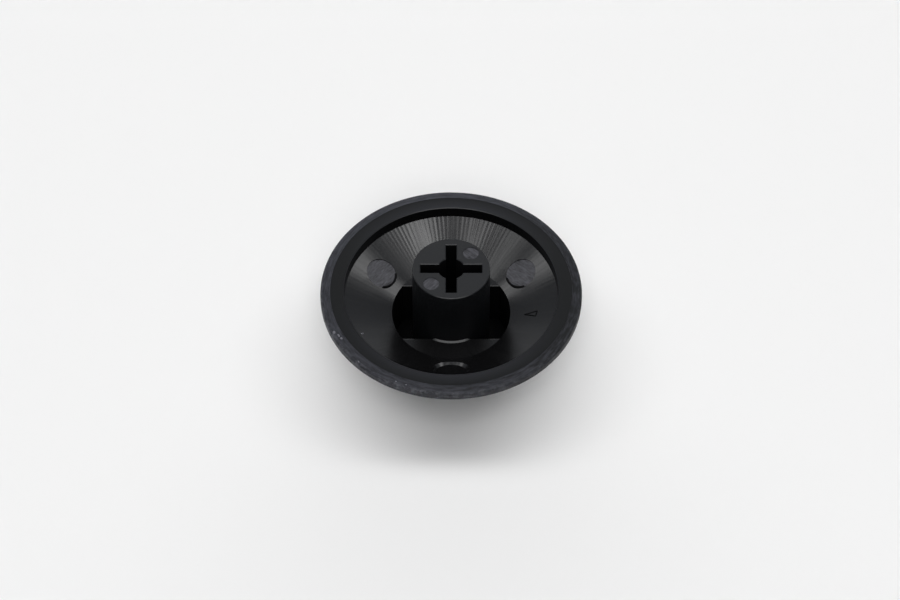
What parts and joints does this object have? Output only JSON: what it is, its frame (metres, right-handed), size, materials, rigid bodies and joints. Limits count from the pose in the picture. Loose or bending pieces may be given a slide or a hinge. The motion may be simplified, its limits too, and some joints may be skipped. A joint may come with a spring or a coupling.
{
  "type": "control knob",
  "caption": "Round control knob with a conical skirt, a bar grip on its front and, on its back, a central stem with a cross-shaped socket that pushes onto an appliance's shaft.",
  "frame": {"origin": "centre of the flat front face of the grip, on which the knob lies", "axes": "+Z along the shaft axis, out of the socket's mouth; X along the bar grip; Y across it"},
  "size_m": [0.042, 0.042, 0.0211],
  "materials": {
    "black_plastic": "black moulded plastic, satin on the back, finely textured on the rim and front"
  },
  "bodies": {
    "root": {"control_knob": "black_plastic"}
  },
  "joints": []
}
